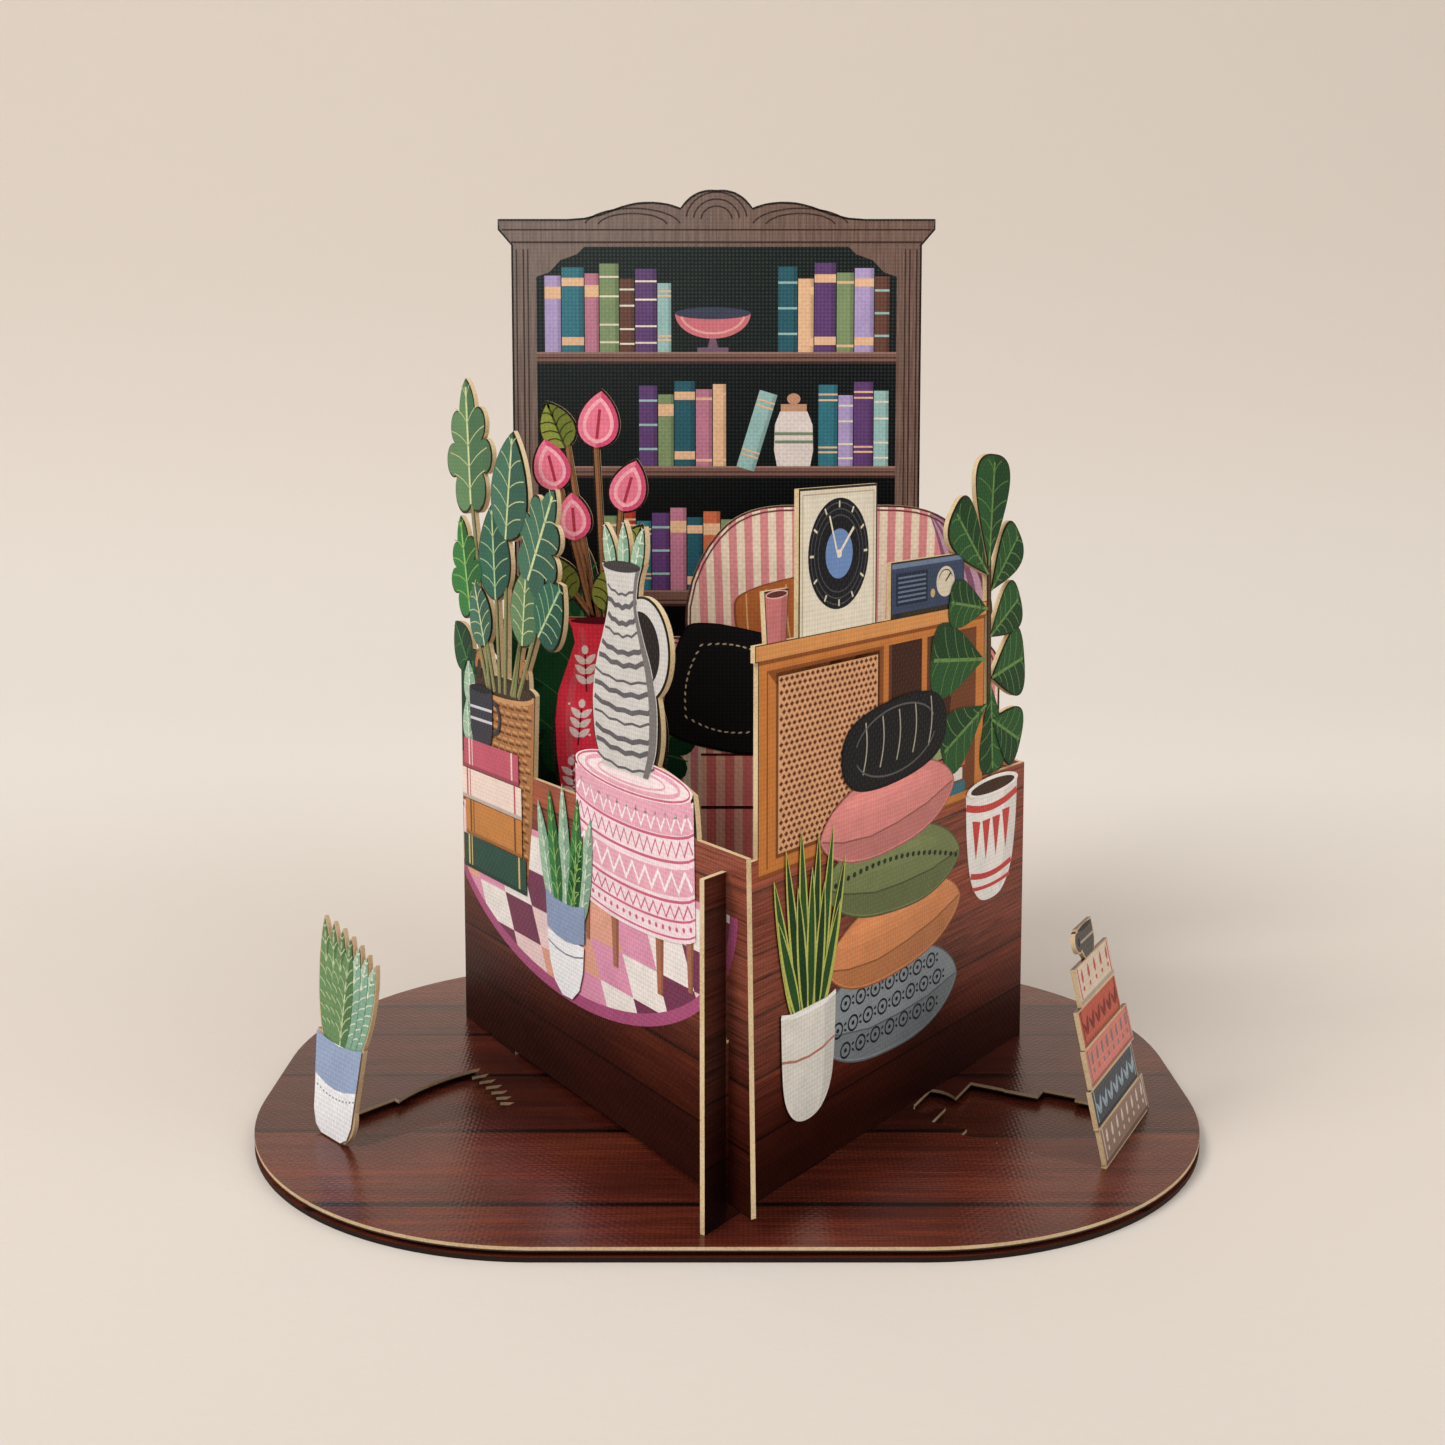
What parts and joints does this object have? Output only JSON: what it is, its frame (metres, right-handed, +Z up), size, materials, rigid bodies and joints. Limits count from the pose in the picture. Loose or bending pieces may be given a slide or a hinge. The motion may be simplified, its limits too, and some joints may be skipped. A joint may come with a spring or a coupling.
{
  "type": "three-dimensional greeting card",
  "caption": "Standing pop-up greeting card: flat rounded base, two crossing slotted walls, a tall bookcase panel and two inner panels, all printed paper board",
  "frame": {"origin": "middle of the bounding box of the whole card, at its underside", "axes": "+Z up, +X to the viewer's right, +Y away from the viewer, so the front is at -Y"},
  "size_m": [0.213, 0.165, 0.2199],
  "materials": {
    "base_bottom": "printed dark wood, linen embossed",
    "base_top": "printed dark wood, linen embossed",
    "left_wall": "printed, linen embossed",
    "right_wall": "printed, linen embossed",
    "bookcase_panel": "printed, linen embossed",
    "chair_panel": "printed, linen embossed",
    "vase_panel": "printed, linen embossed"
  },
  "bodies": {
    "root": {"base_bottom": "base_bottom", "base_top": "base_top", "left_wall": "left_wall", "right_wall": "right_wall", "bookcase_panel": "bookcase_panel", "chair_panel": "chair_panel", "vase_panel": "vase_panel"}
  },
  "joints": []
}
